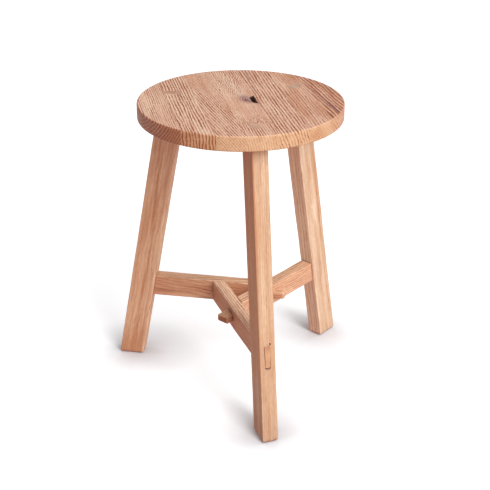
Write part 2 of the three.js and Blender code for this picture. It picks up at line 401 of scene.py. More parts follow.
def leg_mortise(side):
    """The slot for the rail's upright tenon, slack at one side and at the bottom."""
    width, height, radius = LEG_TENON
    slack_left, slack_right, slack_top, slack_bottom = 0.3 * MM, 0.6 * MM, 0.15 * MM, 1.3 * MM
    section = (width + slack_left + slack_right, height + slack_top + slack_bottom, radius)
    shift = ((slack_right - slack_left) / 2, (slack_top - slack_bottom) / 2)
    ends = (-LEG_TO_MIDDLE - LEG_DEPTH, -LEG_TO_MIDDLE + LEG_DEPTH)
    return loft("cutter", [ring(section, z, shift) for z in ends], rail_place(side))


PIN_RADIUS, PIN_SHIFT, PIN_RISE, PIN_DEPTH = 1.4 * MM, 4.2 * MM, 2 * MM, 6 * MM


def pin_hole(side):
    """The solid that cuts the small hole in a leg's outer face, above the rail's tenon."""
    section = (2 * PIN_RADIUS, 2.3 * PIN_RADIUS, PIN_RADIUS * 0.95)
    place = leg_place(side)
    out, across, _ = place.basis
    origin = place(np.array([LEG_DEPTH / 2, PIN_SHIFT, RAIL_LEVEL + RAIL_HEIGHT / 2 + PIN_RISE]))
    rings = [ring(section, z) for z in (-PIN_DEPTH, PIN_DEPTH)]
    return loft("cutter", rings, Place(origin, across, np.cross(out, across), out))


SHOULDER_GAP = {"front": 0.3 * MM, "right": 0.8 * MM, "left": 0.2 * MM}  # at the leg
END_GAP = {"front": 0.9 * MM, "right": 0.3 * MM, "left": 0.3 * MM}  # how far its end opens to one side
TENON_INSET = 0.1 * MM  # how far a rail's tenon ends inside the leg's outer face
TENON_STEPS = 14


def between(first, second, share):
    """A height function that lies a share of the way from one to another."""
    return lambda x, y: first(x, y) + (second(x, y) - first(x, y)) * share


def rail(side, seed):
    """A rail with its tenon through the leg, its two slanting shoulders and its nub through the next rail."""
    lean_across = math.radians(SECTION_TURN - LEAN_TURN)
    slant = LEG_SLOPE * math.cos(lean_across)

    def outer(x, y):
        return -LEG_TO_MIDDLE - LEG_DEPTH / 2 + TENON_INSET + slant * y

    def inner(x, y):
        return -LEG_TO_MIDDLE + LEG_DEPTH / 2 + SHOULDER_GAP[side] + slant * y

    def far(x, y):
        return RAIL_END + END_TILT * x - END_GAP[side] * (x / RAIL_WIDTH + 0.5)

    def nub_edge(x, y):
        return NUB_REACH[side] - NUB_CHAMFER

    rings = cap(LEG_TENON, outer)[::-1]
    for share in np.linspace(0, 1, TENON_STEPS):
        rings.append(ring(LEG_TENON, between(outer, inner, share)))
    count = round((CROSSING + LEG_TO_MIDDLE) / STEP)
    wear = waves(np.column_stack([np.zeros(count + 1)] * 2 + [np.linspace(0, 3, count + 1)]), (1, 1, 1), seed)
    for k in range(count + 1):
        section = (RAIL_WIDTH, RAIL_HEIGHT, RAIL_ARRIS * (1 + 0.3 * wear[k]))
        rings.append(ring(section, between(inner, far, k / count)))
    reach = NUB_REACH[side]
    nub = (RAIL_WIDTH, NUB_HEIGHT, 0.8 * MM)
    rings.append(ring(nub, far))
    for share in np.linspace(0, 1, TENON_STEPS)[1:]:
        rings.append(ring(nub, between(far, nub_edge, share)))
    end = (RAIL_WIDTH - 2 * NUB_CHAMFER, NUB_HEIGHT - 1.4 * NUB_CHAMFER, 0.5 * MM)
    rings.append(ring(end, reach))
    rings += cap(end, reach)
    return loft(f"rail_{side}", rings, rail_place(side))


NUB_GAP = 0.2 * MM


def nub_mortise(side):
    """The solid that cuts the hole for a rail's nub through the next rail."""
    section = (RAIL_WIDTH + 2 * NUB_GAP, NUB_HEIGHT + 2 * NUB_GAP, 0.9 * MM)
    ends = (CROSSING - 3 * RAIL_WIDTH, NUB_REACH[side] + RAIL_WIDTH)
    return loft("cutter", [ring(section, z) for z in ends], rail_place(side))


# ---- Growth rings and marks -------------------------------------------------------------
#
# Each piece holds, at every vertex, what its material needs to know:
#   lay     its own coordinates in millimetres: across, along the grain, and across again
#   rings   how many growth rings out from the pith the point lies
#   accent  how strongly the rings show there
#   tone_and_painted_light  paler (-1) or more tan (+1) wood; on some faces it also holds painted light and
#   shade
#   stain_and_painted_shade  the dark, purplish wood round a knot or in a resin streak, darker patches at the
#   feet and along the rails' lower edges, and painted shade in the joints' gaps, in the knot's pit and low on
#   the front leg
#   end     1 where the surface cuts across the grain


class Timber:
    """Where a piece lay in its log. pith is the log's middle in (across, depth), lean how far the grain
    drifts in each for every millimetre along, spacing the width of a ring, and waver its unevenness."""

    def __init__(self, pith, spacing, lean=(0, 0), waver=0.14, seed=0):
        self.pith, self.spacing, self.lean, self.waver, self.seed = pith, spacing, lean, waver, seed

    def rings(self, lay):
        across = lay[:, 0] - self.pith[0] + self.lean[0] * lay[:, 1]
        depth = lay[:, 2] - self.pith[1] + self.lean[1] * lay[:, 1]
        rings = np.hypot(across, depth) / self.spacing
        rings += self.waver * waves(lay, (26, 130, 26), self.seed)
        return rings + 0.6 * self.waver * waves(lay, (9, 45, 9), self.seed + 1)


def dress(piece, lay, grain, timber, accent=None, tone_and_painted_light=None, stain_and_painted_shade=None, bulge=None):
    """Gives the piece its attributes. lay is in millimetres, grain points along the piece, and bulge adds to
    the ring count."""
    count = len(lay)
    rings = timber.rings(lay) + (0 if bulge is None else bulge)
    tone_and_painted_light = (0 if tone_and_painted_light is None else tone_and_painted_light) + 0.35 * waves(lay, (22, 150, 22), timber.seed + 2)
    accent = (1 if accent is None else accent) * (1 + 0.3 * waves(lay, (14, 60, 14), timber.seed + 3))
    values = {"rings": rings, "tone_and_painted_light": tone_and_painted_light, "accent": accent, "stain_and_painted_shade": 0 if stain_and_painted_shade is None else stain_and_painted_shade}
    normals = np.empty(count * 3, np.float32)
    piece.data.vertices.foreach_get("normal", normals)
    values["end"] = smooth(0.35, 0.8, abs(normals.reshape(-1, 3) @ np.array(grain)))
    for name, value in values.items():
        layer = piece.data.attributes.new(name, "FLOAT", "POINT")
        layer.data.foreach_set("value", np.broadcast_to(value, count).astype(np.float32))
    layer = piece.data.attributes.new("lay", "FLOAT_VECTOR", "POINT")
    layer.data.foreach_set("vector", lay.astype(np.float32).ravel())
    return rings


def vertices(piece):
    points = np.empty(len(piece.data.vertices) * 3, np.float32)
    piece.data.vertices.foreach_get("co", points)
    return points.reshape(-1, 3).astype(float)


def latewood(rings):
    """0 in a ring's soft early wood, rising to 1 in its hard late wood."""
    t = rings % 1
    return smooth(0.35, 0.85, t) * (1 - smooth(0.93, 1.0, t))


BOARD_TIMBER = [
    Timber(pith=(-300, 76), spacing=2.8, seed=31),
    Timber(pith=(-420, -30), spacing=4.1, waver=0.16, seed=32),
    Timber(pith=(-150, -84), spacing=2.9, lean=(0.13, 0), seed=33),
    Timber(pith=(-240, -70), spacing=3.5, seed=34),
    Timber(pith=(-100, -66), spacing=4.2, waver=0.16, seed=35),
    Timber(pith=(-60, -150), spacing=3.1, lean=(0.02, 0), waver=0.3, seed=36),
    Timber(pith=(20, -64), spacing=4.6, lean=(0.09, 0), waver=0.16, seed=37),
]

RIM_LINES_AND_SHADE = [2.5, 1.7, 0.75, 0.5, 0.85, 0.35, 0.5]  # how strongly the rings show on each board's rim; on the first board's rim, on the shaded left, they are made heavier as painted shade
RIM_TONE_AND_SHADE = [2.1, 0.8, 0.0, 0.0, 0.0, 0.45, 0.6]  # and how tan it is; the first board's rim is made darker still as painted shade


def board_marks(index, lay):
    """(accent, tone, stain, bulge) over one board. lay is (x, y, height from the top)."""
    x, y = lay[:, 0], lay[:, 1]
    flat = lay * (1, 1, 0)
    accent, tone_and_painted_light, stain_and_painted_shade, bulge = np.ones(len(lay)), np.zeros(len(lay)), np.zeros(len(lay)), 0
    if index == 0:
        accent = 0.95 + 0.9 * blob(flat, (-104, 78, 0), (5, 22, 1))
        tone_and_painted_light -= 0.1
    if index == 1:
        accent = 1.45 + 0.9 * blob(flat, (-99, 78, 0), (5, 20, 1)) - 0.5 * smooth(-72, -62, x)
        tone_and_painted_light -= 0.35
        stain_and_painted_shade = 0.8 * blob(flat, (-82, 41, 0), (1.5, 5, 1))
    if index == 2:
        accent = 1.3 - 0.7 * smooth(-10, 70, y)
        tone_and_painted_light += 0.4 - 0.35 * smooth(-50, -90, y)
        tone_and_painted_light -= 0.7 * smooth(-40, -22, x) * smooth(-45, -5, y) * smooth(120, 90, y)
        stain_and_painted_shade = 0.35 * bell(x + 0.2 * y, -54, 1.6) * smooth(-70, -40, y) * smooth(40, 10, y)
    if index == 3:
        curly = 1.1 * smooth(-12, -35, y) * smooth(-112, -95, y)
        curly += 0.6 * smooth(10, 30, y) * smooth(130, 110, y)
        bulge = 6.5 * bell(x, 24, 48) * bell(y, 0, 52) + 0.55 * curly * waves(flat, (8, 13, 8), 81)
        accent = 0.3 + 0.7 * smooth(-2, 16, x) * smooth(45, 95, y)
        accent += 0.25 * smooth(10, 40, y) + 0.25 * smooth(-15, -40, y)
        accent += 0.75 * smooth(-60, -105, y) + 0.4 * smooth(24, 44, y) * smooth(16, 4, x)
        pale_fan = smooth(5, 45, y) * smooth(24, 4, x) * smooth(-26, -6, x) * smooth(135, 100, y)
        tone_and_painted_light = 0.1 * smooth(0, -30, y) * smooth(-95, -75, y) - 0.75 * pale_fan
        tone_and_painted_light += 0.9 * blob(flat, (20, 33, 0), (5, 15, 1))
        tone_and_painted_light += 0.35 * smooth(-8, -18, x) * smooth(-60, -30, y) * smooth(20, 0, y)
        stain_and_painted_shade = knot_marks(flat)
    if index == 4:
        accent = 1.35
        seam = bell(x - 0.05 * y, 27.5, 1.4)
        stain_and_painted_shade = seam * (0.5 * smooth(22, 40, y) * smooth(66, 54, y) + 0.5 * smooth(84, 96, y))
        stain_and_painted_shade += 0.4 * blob(flat, (26, -60, 0), (1.6, 9, 1))
        # Painted shade: this board's side face, where it forms a wall of the knot's pit, is made near black
        # below the top.
        painted_shade_pit_wall = (x < x.min() + 0.1) * smooth(21, 18, abs(y - KNOT_Y / MM))
        stain_and_painted_shade = np.maximum(stain_and_painted_shade, 1.25 * painted_shade_pit_wall * smooth(-0.3, -1.6, lay[:, 2]))
    if index == 5:
        accent = 0.85
        tone_and_painted_light += 0.45 + 0.7 * blob(flat, (100, 98, 0), (12, 26, 1))
        tone_and_painted_light += 0.4 * blob(flat, (90, -60, 0), (16, 34, 1))
    if index == 6:
        accent = 2.4
        streak = bell(x, 114 + (43 - y) * 0.092, 1.3)
        stain_and_painted_shade = streak * (0.6 * smooth(60, 30, y) + 0.6 * smooth(-10, -45, y))
        tone_and_painted_light += 0.5
    radius = SEAT_RADIUS / MM
    edge = smooth(radius - 2.2, radius - 0.8, np.hypot(x, y))
    # On the rim each board takes its rim values, which on the first board hold painted shade.
    accent = accent + (RIM_LINES_AND_SHADE[index] - accent) * edge
    tone_and_painted_light = tone_and_painted_light + (RIM_TONE_AND_SHADE[index] - tone_and_painted_light) * edge
    return accent, tone_and_painted_light, stain_and_painted_shade * (1 - edge), bulge


def knot_marks(flat):
    """The stain round the lost knot: a purplish halo with fine arcs, a dark eye and a charred lip."""
    pit = np.array((22.3, 0, 0))
    away = np.hypot((flat - pit)[:, 0], 0.72 * (flat - pit)[:, 1])
    arcs = (0.5 + 0.5 * np.cos(2 * np.pi * away / 3.8)) * smooth(38, 16, away)
    halo = 0.42 * blob(flat, (9, 5, 0), (12, 23, 1)) + 0.2 * blob(flat, (22, -26, 0), (3, 9, 1))
    eye = 0.6 * blob(flat, (7.5, -0.5, 0), (3.0, 3.0, 1)) + 0.5 * blob(flat, (12.5, -6.5, 0), (2.8, 3, 1))
    eye += 0.55 * blob(flat, (17, -13, 0), (2.8, 3.2, 1)) + 0.25 * blob(flat, (21, -20, 0), (3, 4, 1))
    lip = 0.4 * blob(flat, (17, 4, 0), (2, 9, 1))
    arcs *= 0.4 * blob(flat, (2, 12, 0), (12, 24, 1))
    return halo + eye + lip + arcs + 0.45 * blob(flat, (-8, -96, 0), (2, 3, 1))


def in_pit(lay):
    """1 on the walls and floor of the knot's pit."""
    edge = (board_boxes[KNOT_BOARD][1].x - AXIS[0]) / MM
    inside = (lay[:, 0] > edge - KNOT_WIDTH / MM - 1) & (abs(lay[:, 1] - KNOT_Y / MM) < KNOT_HALF / MM + 1)
    wall = (lay[:, 2] < -0.4) & (lay[:, 0] < edge + 0.13)
    return (inside & wall) * smooth(-0.1, -1.2, lay[:, 2])


WEAR_DEPTH = 0.16 * MM  # how far the soft wood of the seat's top is worn below the hard


def dress_board(piece, index):
    lay = (vertices(piece) - AXIS - np.array([0, 0, SEAT_TOP])) / MM
    accent, tone_and_painted_light, stain_and_painted_shade, bulge = board_marks(index, lay)
    if index == KNOT_BOARD:
        # Painted shade: the knot pit's walls and floor are made near black.
        stain_and_painted_shade = np.maximum(stain_and_painted_shade, 1.25 * in_pit(lay))
    rings = dress(piece, lay, (0, 1, 0), BOARD_TIMBER[index], accent, tone_and_painted_light, stain_and_painted_shade, bulge)
    radius = SEAT_RADIUS / MM
    within = smooth(radius - 1.5, radius - 5, np.hypot(lay[:, 0], lay[:, 1]))
    worn = WEAR_DEPTH * (1 - latewood(rings)) * np.clip(accent, 0, 1.3) * within * (lay[:, 2] > -0.01)
    points = vertices(piece)
    points[:, 2] -= worn
    piece.data.vertices.foreach_set("co", points.astype(np.float32).ravel())


LEG_TIMBER = {
    "front": Timber(pith=(-90, -150), spacing=2.8, lean=(0.004, 0.002), seed=41),
    "right": Timber(pith=(-60, -150), spacing=5.4, lean=(0.001, 0.002), waver=0.2, seed=42),
    "left": Timber(pith=(-240, 30), spacing=6.4, waver=0.3, seed=43),
}
RAIL_TIMBER = {
    "front": Timber(pith=(60, -40), spacing=3.0, lean=(0.01, 0.01), seed=51),
    "right": Timber(pith=(-40, 70), spacing=3.3, lean=(0.02, -0.03), seed=52),
    "left": Timber(pith=(22, -30), spacing=3.2, lean=(0.0, 0.09), waver=0.3, seed=53),
}


def dress_leg(piece, side):
    place = leg_place(side)
    local = place.local(vertices(piece)) / MM
    grain = place.basis[2] / np.linalg.norm(place.basis[2])
    accent, tone_and_painted_light, stain_and_painted_shade = leg_marks(side, *local.T)
    dress(piece, local[:, [0, 2, 1]], grain, LEG_TIMBER[side], accent, tone_and_painted_light, stain_and_painted_shade)


def dress_rail(piece, side):
    place = rail_place(side)
    local = place.local(vertices(piece)) / MM
    accent, tone_and_painted_light, stain_and_painted_shade = rail_marks(side, *local.T)
    dress(piece, local[:, [0, 2, 1]], place.basis[2], RAIL_TIMBER[side], accent, tone_and_painted_light, stain_and_painted_shade)


LEG_ACCENT = {"front": 0.4, "right": 0.35, "left": 0.5}
TENON_TONE = {"front": -0.2, "right": -0.3, "left": 0.2}  # on the end grain in the seat's top
LEG_TONE = {"front": 0.05, "right": 0.08, "left": 0.28}


def leg_marks(side, out, across, height):
    """(accent, tone, stain) over a leg, from its own coordinates in millimetres."""
    accent, tone_and_painted_light = np.full(len(out), LEG_ACCENT[side]), np.full(len(out), LEG_TONE[side])
    if side == "front":
        tone_and_painted_light += 0.25 * smooth(420, 250, height) - 0.1 * smooth(190, 100, height)
        tone_and_painted_light += 0.8 * bell(across, -10.4, 0.8) * smooth(18, 19.2, out) * smooth(150, 260, height)
        # Painted shade: the left face is made more tan, most near the top, where the seat's shadow falls.
        tone_and_painted_light += 1.0 * smooth(-10.5, -11.9, across) * smooth(-60, 220, height)
    if side == "right":
        long_lines = bell(out + 0.006 * height, 15.5, 0.9) + 0.7 * bell(out, 11.5, 0.7)
        accent += 1.6 * long_lines * smooth(330, 260, height)
        # Painted light: both broad faces are made paler, lifting the lit front-right face.
        tone_and_painted_light -= 0.5 * smooth(10, 12, abs(across))
        # Painted light: the inner face, turned away from the key light, is made paler.
        tone_and_painted_light -= 1.5 * smooth(-17, -19, out)
        tone_and_painted_light += 0.9 * smooth(9, 12, out + 3 * np.cos(height / 60)) * smooth(222, 236, height)
        accent += 0.15 * smooth(-17, -19, out)
        accent += 0.6 * blob(np.column_stack([out, height]), (12.5, 238), (3, 16))
    if side == "left":
        # More tan towards the foot; paler towards the top, as painted light against the seat's shadow there.
        tone_and_painted_light += 0.5 * smooth(80, 0, height) - 0.45 * smooth(270, 420, height)
        heart = out - 6 + 10 * smooth(400, 200, height) - 3 * smooth(180, 80, height)
        tone_and_painted_light += 0.8 * bell(heart, 0, 2.6) - 0.5 * bell(heart, -5, 2) - 0.4 * bell(heart, 5.5, 2)
        accent += 0.6 * bell(heart, 0, 2.6) + 0.5 * smooth(18, 19.2, out)
        # Painted light: the inner face, which catches the light from the right, is made much paler.
        tone_and_painted_light -= 2.5 * smooth(-17, -19, out)
    tenon = smooth(SEAT_TOP / MM - 4, SEAT_TOP / MM - 1, height)
    accent *= 1 - 0.85 * tenon
    tone_and_painted_light += (TENON_TONE[side] - tone_and_painted_light) * tenon
    patches = waves(np.column_stack([out, across, height]), (9, 9, 9), 61)
    stain_and_painted_shade = 0.3 * smooth(7, 0, height) * smooth(-0.4, 0.6, patches)
    # Painted shade: the front leg darkens towards its foot.
    if side == "front":
        stain_and_painted_shade += 0.14 * smooth(220, 60, height) + 0.1 * smooth(60, 10, height)
    return accent, tone_and_painted_light, stain_and_painted_shade


def nub_mouth():
    """Where along the front rail's left face the right rail's nub comes out, in millimetres."""
    front, right = rail_place("front"), rail_place("right")
    first, second = (front.local(right(np.array([0, 0, z])))[[0, 2]] for z in (0, 0.1))
    share = (RAIL_WIDTH / 2 - first[0]) / (second[0] - first[0])
    return (first[1] + (second[1] - first[1]) * share) / MM


NUB_MOUTH = nub_mouth()

RAIL_ACCENT = {"front": 0.7, "right": 0.6, "left": 0.6}
TOP_PAINTED_LIGHT = {"front": 1.3, "right": 0.3, "left": 0.9}  # painted light: how much paler each rail's top face is made, as if lit from above
TOP_LINES = {"front": 0.05, "right": 0.15, "left": 0.0}
RAIL_TONE = {"front": 0.15, "right": 0.05, "left": 0.48}


def rail_marks(side, across, up, along):
    """(accent, tone, stain) over a rail, from its own coordinates in millimetres."""
    accent, tone_and_painted_light = np.full(len(up), RAIL_ACCENT[side]), np.full(len(up), RAIL_TONE[side])
    # Painted light: the rail's top face is made paler.
    tone_and_painted_light -= TOP_PAINTED_LIGHT[side] * smooth(15.2, 16.8, up)
    if side == "front":
        tone_and_painted_light += 0.9 * smooth(8.0, 9.3, across) * smooth(16.8, 15.2, up)
    to_end = along - RAIL_END / MM - END_TILT * across
    # Painted light: the nub's top face is made paler, as if lit from above.
    tone_and_painted_light -= 1.0 * smooth(4.0, 4.8, up) * smooth(-0.2, 0.8, to_end)
    accent += TOP_LINES[side] * smooth(15.2, 16.8, up)
    if side == "left":
        streak = bell(up - 0.02 * along, 3, 4) * smooth(-110, -70, along) * smooth(-20, -50, along)
        accent += 1.2 * streak
        tone_and_painted_light += 0.5 * streak
    accent *= 1 - 0.6 * smooth(-LEG_TO_MIDDLE / MM - 16, -LEG_TO_MIDDLE / MM - 18, along)
    # Darker along each rail's bottom edge.
    stain_and_painted_shade = 0.16 * smooth(-15.5, -16.8, up)
    if side == "front":
        # Painted shadow in the gaps round the tenon's end in the leg's slot.
        in_leg = smooth(-LEG_TO_MIDDLE / MM - 12, -LEG_TO_MIDDLE / MM - 14, along)
        painted_slot_shadow = smooth(3.7, 3.95, across) + smooth(-3.7, -3.95, across) * smooth(-2, -9, up)
        painted_slot_shadow += smooth(-15.6, -16.2, up)
        stain_and_painted_shade = np.maximum(stain_and_painted_shade, 0.7 * in_leg * np.clip(painted_slot_shadow, 0, 1))
        # Painted shadow: a dark line along the rail's end, where it meets the next rail.
        painted_end_shadow = smooth(-2.2, -1.0, to_end) * smooth(0.4, 0, to_end)
        stain_and_painted_shade = np.maximum(stain_and_painted_shade, 0.8 * painted_end_shadow * smooth(6.5, 8.5, across))
        # Painted shadow round the mouth where the right rail's nub comes out of this rail's left face.
        painted_nub_shadow = np.hypot((along - NUB_MOUTH + 1.5) / 14, (up - 1) / 9)
        stain_and_painted_shade = np.maximum(stain_and_painted_shade, 0.95 * np.exp(-(painted_nub_shadow**4)) * smooth(8.5, 9.4, across))
    reach = NUB_REACH[side] / MM
    if side == "left":
        tone_and_painted_light -= 1.1 * smooth(reach - 3.4, reach - 2.0, along)
        # Darker low on the rail, next to where the front rail's end meets it.
        stain_and_painted_shade += 0.3 * smooth(-11, -16, up) * smooth(-85, -60, along) * smooth(-40, -48, along)
    if side == "right":
        tone_and_painted_light += 3.2 * smooth(reach - 1.2, reach - 0.4, along)
        out_of_rail = smooth(reach - 26, reach - 22, along)
        accent *= 1 - 0.7 * out_of_rail
        # On the right rail's nub the painted light on its top is undone, and the top made a little more tan.
        tone_and_painted_light += 1.3 * out_of_rail * smooth(4.0, 4.8, up)
        # Painted shadow: a dark line on the top face where the rail's shoulder meets the leg.
        to_shoulder = along + (LEG_TO_MIDDLE - LEG_DEPTH / 2) / MM - 0.8 - LEG_SLOPE * up
        painted_shoulder_shadow = smooth(2.6, 0.6, to_shoulder) * smooth(-1, -0.2, -to_shoulder)
        stain_and_painted_shade = np.maximum(stain_and_painted_shade, 0.8 * painted_shoulder_shadow * smooth(15.5, 16.5, up))
    return accent, tone_and_painted_light, stain_and_painted_shade


# ---- Wood material ----------------------------------------------------------------------


def linear(red, green, blue):
    """A colour written as 0 to 255 is written in a picture, as the shader's linear values."""
    parts = [c / 255 for c in (red, green, blue)]
    return tuple(c / 12.92 if c <= 0.04045 else ((c + 0.055) / 1.055) ** 2.4 for c in parts) + (1,)


class Nodes:
    """A short way to write a material's node tree."""

    def __init__(self, material):
        self.tree = material.node_tree

    def add(self, kind, inputs=(), **settings):
        node = self.tree.nodes.new("ShaderNode" + kind)
        for key, value in settings.items():
            setattr(node, key, value)
        for key, value in inputs.items() if isinstance(inputs, dict) else enumerate(inputs):
            if isinstance(value, bpy.types.NodeSocket):
                self.tree.links.new(value, node.inputs[key])
            else:
                node.inputs[key].default_value = value
        return node.outputs

    def read(self, name, output="Fac"):
        return self.add("Attribute", attribute_name=name)[output]

    def math(self, operation, *values):
        return self.add("Math", values, operation=operation)[0]

    def ramp(self, value, low, high, start=0.0, end=1.0):
        return self.add("MapRange", (value, low, high, start, end), interpolation_type="SMOOTHSTEP")[0]

    def mix(self, factor, first, second, blend="MIX"):
        return self.add("Mix", {0: factor, 6: first, 7: second}, data_type="RGBA", blend_type=blend)[2]

    def noise(self, lay, scale, detail=2.0, shift=0.0):
        """Noise whose grains are 1 / scale millimetres long on each axis."""
        placed = self.add("VectorMath", (lay, scale, (shift, shift, shift)), operation="MULTIPLY_ADD")[0]
        inputs = {"Vector": placed, "Scale": 1.0, "Detail": detail, "Roughness": 0.55}
        return self.add("TexNoise", inputs)["Fac"]


# The dark colours of real stains, also used for the painted shade in joint gaps and in the knot's pit.
STAIN_AND_SHADE_BROWN, DARK_STAIN_AND_SHADE = (128, 86, 84), (34, 22, 18)


def wood(name, light, dark, pale, tan, end, fleck, dash, line=0.8, shift=0.0):
    """Sawn and lightly brushed softwood. line is how strongly the late wood shows, fleck how mottled it is,
    dash how strong its short dashes are, and shift moves the noise, so that no two pieces are alike."""
    material = bpy.data.materials.new(name)
    material.use_nodes = True
    n = Nodes(material)
    lay = n.read("lay", "Vector")
    jitter = n.noise(lay, (0.55, 0.03, 0.55), 3.0, shift)
    fine_jitter = n.math("MULTIPLY_ADD", n.math("SUBTRACT", jitter, 0.5), 0.5, n.read("rings"))
    turn = n.math("FRACT", fine_jitter)
    rise, fall = n.ramp(turn, 0.3, 0.82), n.ramp(turn, 0.92, 1.0, 1.0, 0.0)
    late = n.math("MULTIPLY", rise, fall)
    broken = n.ramp(n.noise(lay, (0.16, 0.012, 0.16), 3.0, shift + 7), 0.3, 0.62, 0.6, 1.1)
    beaded = n.ramp(n.noise(lay, (0.42, 0.11, 0.42), 2.0, shift + 13), 0.32, 0.62, 0.45, 1.15)
    accent = n.math("MULTIPLY", n.read("accent"), line)
    strength = n.math("MULTIPLY", accent, n.math("MULTIPLY", broken, beaded))
    lines = n.add("Math", (late, strength), operation="MULTIPLY", use_clamp=True)[0]

    tone_and_painted_light = n.read("tone_and_painted_light")
    ground = n.mix(n.ramp(tone_and_painted_light, 0.0, 1.0), linear(*light), linear(*tan))
    ground = n.mix(n.ramp(tone_and_painted_light, 0.0, -1.0), ground, linear(*pale))
    ground = n.mix(n.ramp(tone_and_painted_light, 1.0, 3.0, 0.0, 0.7), ground, linear(*dark))
    colour = n.mix(lines, ground, linear(*dark))

    streak = n.ramp(n.noise(lay, (0.5, 0.01, 0.5), 4.0, shift + 3), 0.3, 0.7, 0.86, 1.1)
    fibre = n.ramp(n.noise(lay, (2.4, 0.06, 2.4), 3.0, shift + 5), 0.25, 0.75, 0.88, 1.1)
    mottle = n.ramp(n.noise(lay, (0.55, 0.16, 0.55), 2.0, shift + 17), 0.3, 0.7, 1 - fleck, 1 + fleck)
    band = n.ramp(n.noise(lay, (0.16, 0.004, 0.16), 2.0, shift + 19), 0.3, 0.7, 0.94, 1.06)
    dashes = n.ramp(n.noise(lay, (0.8, 0.08, 0.8), 2.0, shift + 23), 0.3, 0.7, 1 - dash, 1 + dash)
    grain = n.math("MULTIPLY", n.math("MULTIPLY", streak, fibre), n.math("MULTIPLY", mottle, band))
    grain = n.math("MULTIPLY", grain, dashes)
    across = n.math("MULTIPLY", n.read("end"), 0.7)
    grain = n.math("ADD", n.math("MULTIPLY", grain, n.math("SUBTRACT", 1.0, across)), across)
    tint = n.add("CombineColor", (n.math("POWER", grain, 0.65), grain, n.math("POWER", grain, 1.1)))[0]
    colour = n.mix(1.0, colour, tint, "MULTIPLY")
    pores = n.ramp(n.noise(lay, (3.1, 0.22, 3.1), 1.0, shift + 9), 0.64, 0.74)
    colour = n.mix(n.math("MULTIPLY", pores, 0.5), colour, linear(*dark))

    colour = n.mix(n.read("end"), colour, n.mix(1.0, colour, (*end, 1), "MULTIPLY"))
    stain_and_painted_shade = n.read("stain_and_painted_shade")
    colour = n.mix(n.ramp(stain_and_painted_shade, 0.0, 0.8), colour, linear(*STAIN_AND_SHADE_BROWN))
    colour = n.mix(n.ramp(stain_and_painted_shade, 0.75, 1.2), colour, linear(*DARK_STAIN_AND_SHADE))

    relief = n.math("MULTIPLY_ADD", late, 0.7, n.math("MULTIPLY", fibre, 0.6))
    relief = n.math("SUBTRACT", relief, n.math("MULTIPLY", pores, 0.5))
    bump = n.add("Bump", {"Strength": 0.35, "Distance": 0.0002, "Height": relief})[0]
    rough = n.ramp(lines, 0.0, 1.0, 0.62, 0.5)

    shader = material.node_tree.nodes["Principled BSDF"]
    shader.inputs["Specular IOR Level"].default_value = 0.35
    n.tree.links.new(colour, shader.inputs["Base Color"])
    n.tree.links.new(rough, shader.inputs["Roughness"])
    n.tree.links.new(bump, shader.inputs["Normal"])
    return material


SEAT_LOOK = dict(light=(213, 173, 147), dark=(144, 78, 50), pale=(221, 188, 162), tan=(197, 147, 117))
SEAT_LOOK |= dict(end=(1.0, 1.04, 0.87), fleck=0.13, dash=0.03, line=0.88)
LEG_LOOK = dict(light=(208, 177, 144), dark=(186, 118, 78), pale=(234, 202, 167), tan=(194, 144, 108))
LEG_LOOK |= dict(end=(0.66, 0.57, 0.62), fleck=0.05)
RAIL_LOOK = dict(light=(220, 176, 140), dark=(156, 88, 62), pale=(246, 206, 172), tan=(200, 144, 108))
RAIL_LOOK |= dict(end=(0.82, 0.76, 0.68), fleck=0.06, dash=0.05)
LOOKS = {name: SEAT_LOOK for name in BOARDS}
LOOKS |= {f"leg_{side}": LEG_LOOK | dict(dash=0.03 if side == "right" else 0.07) for side in RING}
# Painted light: the left leg, which stands in shade, gets a lighter, redder colour than the other legs.
LOOKS["leg_left"]["light"] = (215, 177, 144)
LOOKS["leg_front"]["end"] = (0.68, 0.555, 0.6)
# The right leg's pale colour, shown mostly by the painted light on its faces, is less warm.
LOOKS["leg_right"]["pale"] = (232, 207, 178)
LOOKS |= {f"rail_{side}": RAIL_LOOK for side in RING}

# ---- Making the pieces ------------------------------------------------------------------

pieces = {name: seat_board(name, index) for index, name in enumerate(BOARDS)}
# The leg whose mortise each board is cut for. The right leg's tenon also reaches a little into the last
# board, low down inside the seat, and that board isn't cut for it.
TENON_BOARDS = {0: "left", 1: "left", 3: "front", 5: "right"}
for index, side in TENON_BOARDS.items():
    cutters = [seat_mortise(side)]
    if index == KNOT_BOARD:
        cutters.append(knot_cutter(board_boxes[KNOT_BOARD][1].x - AXIS[0]))
    cut(pieces[BOARDS[index]], cutters)
for index, name in enumerate(BOARDS):
    dress_board(pieces[name], index)

for k, side in enumerate(RING):
    cutters = [leg_mortise(side)] + ([pin_hole(side)] if side == "front" else [])
    pieces[f"leg_{side}"] = cut(leg(side, 10 + k), cutters)
    pieces[f"rail_{side}"] = cut(rail(side, 20 + k), [nub_mortise(behind(side))])
    dress_leg(pieces[f"leg_{side}"], side)
    dress_rail(pieces[f"rail_{side}"], side)

CREASE_ANGLE = math.radians(35)
NOISE_STEP = 11.0

for k, (name, piece) in enumerate(pieces.items()):
    piece.data.shade_smooth()
    piece.data.set_sharp_from_angle(angle=CREASE_ANGLE)
    piece.data.materials.clear()
    piece.data.materials.append(wood("wood_" + name, shift=NOISE_STEP * k, **LOOKS[name]))
    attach(piece, "root")
    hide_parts(name)

# ---- Floor, light and camera ------------------------------------------------------------

